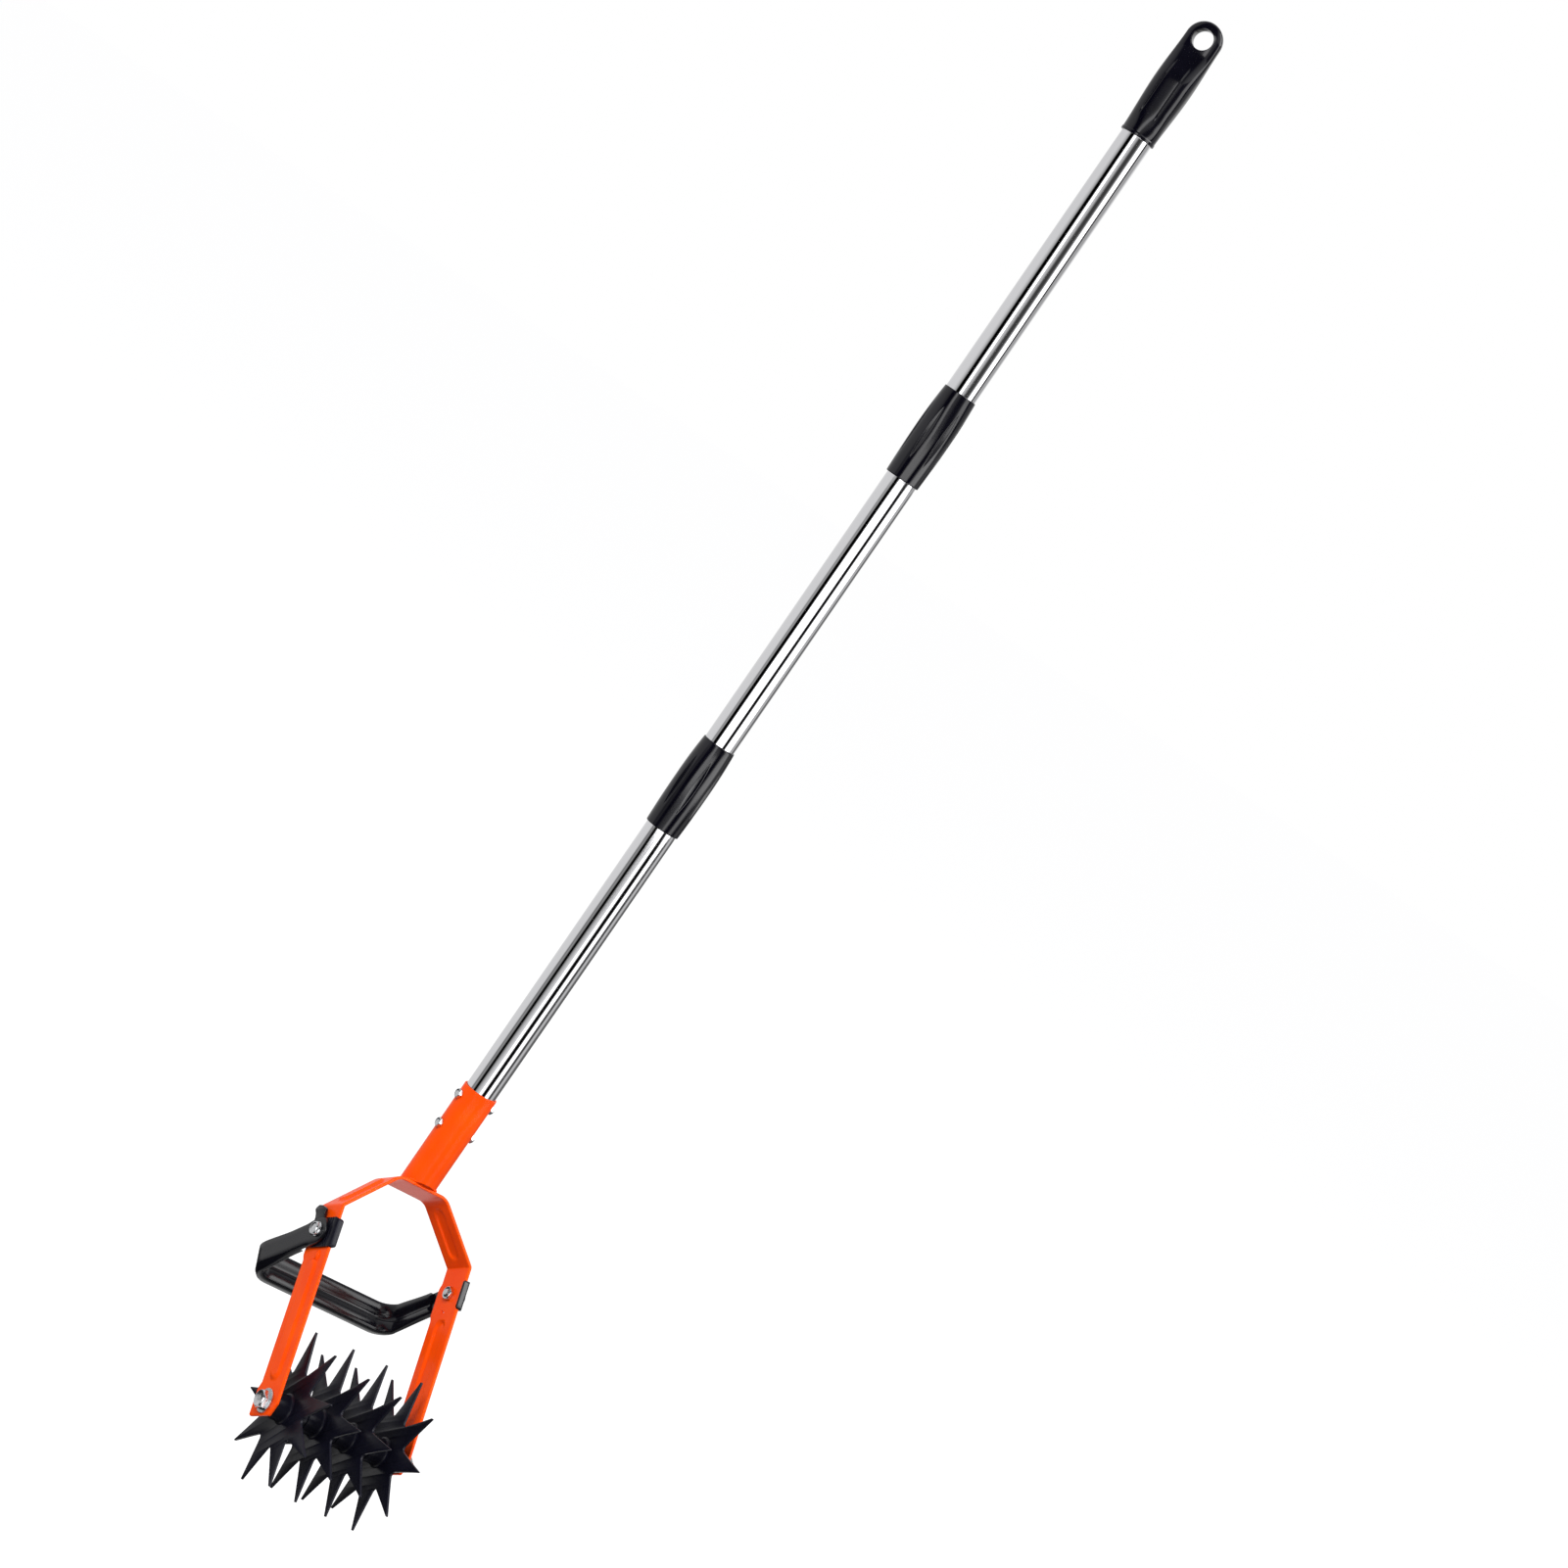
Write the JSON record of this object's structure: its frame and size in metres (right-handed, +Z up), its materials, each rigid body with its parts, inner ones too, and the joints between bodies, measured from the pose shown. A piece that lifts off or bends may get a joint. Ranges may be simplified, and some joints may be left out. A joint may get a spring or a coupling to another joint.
{
  "type": "rotary cultivator",
  "caption": "Long-handled rotary cultivator: toothed star wheels spin on an axle in a bent steel yoke below a sectional pole, with a folding foot bar and a grip with a hanging hole.",
  "frame": {"origin": "centre of the hanging hole in the grip", "axes": "+Z up along the pole, +X along the wheel axle towards its nut, +Y towards the side the foot bar stands out on"},
  "size_m": [0.1446, 0.199, 1.2673],
  "materials": {
    "orange_paint": "gloss powder coat",
    "black_paint": "satin black coat",
    "black_plastic": "satin moulded",
    "foot_bar_plastic": "satin moulded",
    "polished_steel": "mirror polished",
    "zinc_steel": "bright zinc"
  },
  "bodies": {
    "frame": {"grip": "black_plastic", "upper_tube": "polished_steel", "upper_connector": "black_plastic", "upper_core": "black_plastic", "middle_tube": "polished_steel", "lower_connector": "black_plastic", "lower_core": "black_plastic", "lower_tube": "polished_steel", "socket_tube": "orange_paint", "socket_bolt_1": "zinc_steel", "socket_bolt_2": "zinc_steel", "socket_nut_1": "zinc_steel", "socket_nut_2": "zinc_steel", "yoke": "orange_paint", "pedal_bracket_left": "black_paint", "pedal_bracket_right": "black_paint", "pivot_bolt_left": "zinc_steel", "pivot_bolt_right": "zinc_steel", "pivot_nut_left": "zinc_steel", "pivot_nut_right": "zinc_steel", "axle_bolt": "zinc_steel", "axle_nut": "zinc_steel", "axle_washer_left": "zinc_steel", "axle_washer_right": "zinc_steel", "axle_sleeve": "zinc_steel"},
    "foot_bar": {"foot_bar": "foot_bar_plastic"},
    "wheel_1": {"star_wheel_1": "black_paint", "hub_tube_1": "black_paint"},
    "wheel_2": {"star_wheel_2": "black_paint", "hub_tube_2": "black_paint"},
    "wheel_3": {"star_wheel_3": "black_paint", "hub_tube_3": "black_paint"},
    "wheel_4": {"star_wheel_4": "black_paint", "hub_tube_4": "black_paint"}
  },
  "joints": [
    {"name": "foot_bar_fold", "type": "hinge", "parent": "frame", "child": "foot_bar", "pos_m": [0, -0.03092, -1.08192], "axis": [1, 0, 0], "range_deg": [0, 80]},
    {"name": "wheel_1_spin", "type": "hinge", "parent": "frame", "child": "wheel_1", "pos_m": [0, -0.10154, -1.1932], "axis": [1, 0, 0], "continuous": true},
    {"name": "wheel_2_spin", "type": "hinge", "parent": "frame", "child": "wheel_2", "pos_m": [0, -0.10154, -1.1932], "axis": [1, 0, 0], "continuous": true},
    {"name": "wheel_3_spin", "type": "hinge", "parent": "frame", "child": "wheel_3", "pos_m": [0, -0.10154, -1.1932], "axis": [1, 0, 0], "continuous": true},
    {"name": "wheel_4_spin", "type": "hinge", "parent": "frame", "child": "wheel_4", "pos_m": [0, -0.10154, -1.1932], "axis": [1, 0, 0], "continuous": true}
  ]
}
